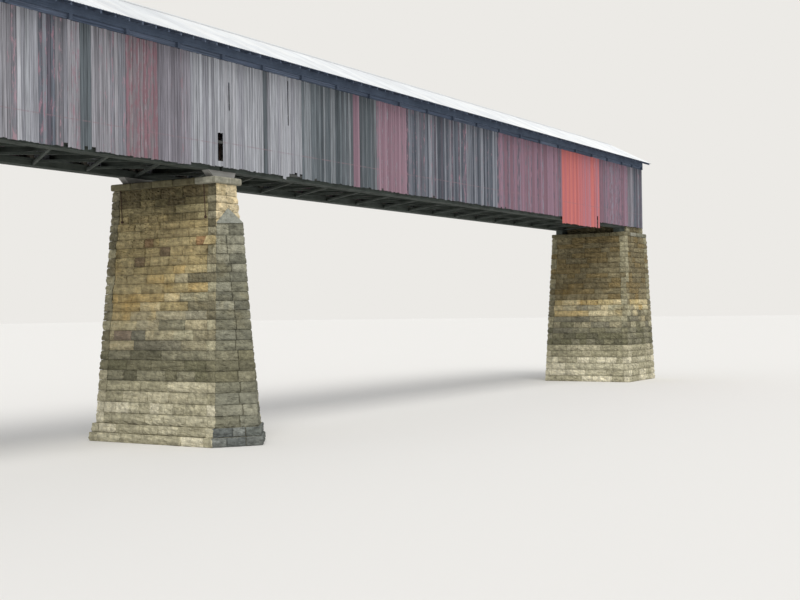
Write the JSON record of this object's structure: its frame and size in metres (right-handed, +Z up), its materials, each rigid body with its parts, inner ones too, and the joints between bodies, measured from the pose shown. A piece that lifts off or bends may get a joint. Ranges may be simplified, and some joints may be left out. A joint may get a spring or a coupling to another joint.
{
  "type": "covered timber bridge, 1:10 scale model",
  "caption": "Long timber bridge with board siding and a gable roof, carried on a tall battered stone pier with a pointed cutwater and a stone abutment at each end.",
  "frame": {"origin": "middle of the pier's foot, at the river-bed level that the pier and abutments stand on", "axes": "+X along the roadway towards the right abutment, -Y to the upstream side with the cutwater, +Z up"},
  "size_m": [12.48, 1.012, 2.2662],
  "materials": {
    "sandstone": "rock-faced, weathered",
    "siding_boards": "faded paint on weathered boards",
    "grey_timber": "bare, weathered grey",
    "truss_timber": "rough sawn, darkened",
    "deck_planks": "worn planks",
    "wrought_iron": "rusted",
    "roof_metal": "dull standing-seam sheet"
  },
  "bodies": {
    "root": {"abutment_left": "sandstone", "abutment_right": "sandstone", "anchor_rods": "truss_timber", "angle_blocks_far": "truss_timber", "angle_blocks_near": "truss_timber", "bolsters_left": "grey_timber", "bolsters_right": "grey_timber", "braces_far_left": "truss_timber", "braces_far_right": "truss_timber", "braces_near_left": "truss_timber", "braces_near_right": "truss_timber", "deck": "deck_planks", "eave_plates": "truss_timber", "floor_beams": "truss_timber", "gable_left": "siding_boards", "gable_right": "siding_boards", "iron_rods_far": "wrought_iron", "iron_rods_near": "wrought_iron", "lower_chord_far_left": "truss_timber", "lower_chord_far_right": "truss_timber", "lower_chord_near_left": "truss_timber", "lower_chord_near_right": "truss_timber", "lower_laterals": "truss_timber", "nailers_far": "truss_timber", "nailers_near": "truss_timber", "pier": "sandstone", "pier_bolsters": "grey_timber", "pier_cap": "sandstone", "pier_cutwater": "sandstone", "portal_jambs_left": "siding_boards", "portal_jambs_right": "siding_boards", "rafters": "truss_timber", "ridge_cap": "roof_metal", "roof_far": "roof_metal", "roof_near": "roof_metal", "siding_far_left": "siding_boards", "siding_far_right": "siding_boards", "siding_near_left": "siding_boards", "siding_near_right": "siding_boards", "stringers": "truss_timber", "tie_beams": "truss_timber", "upper_chord_far": "truss_timber", "upper_chord_near": "truss_timber", "upper_laterals": "truss_timber"}
  },
  "joints": []
}
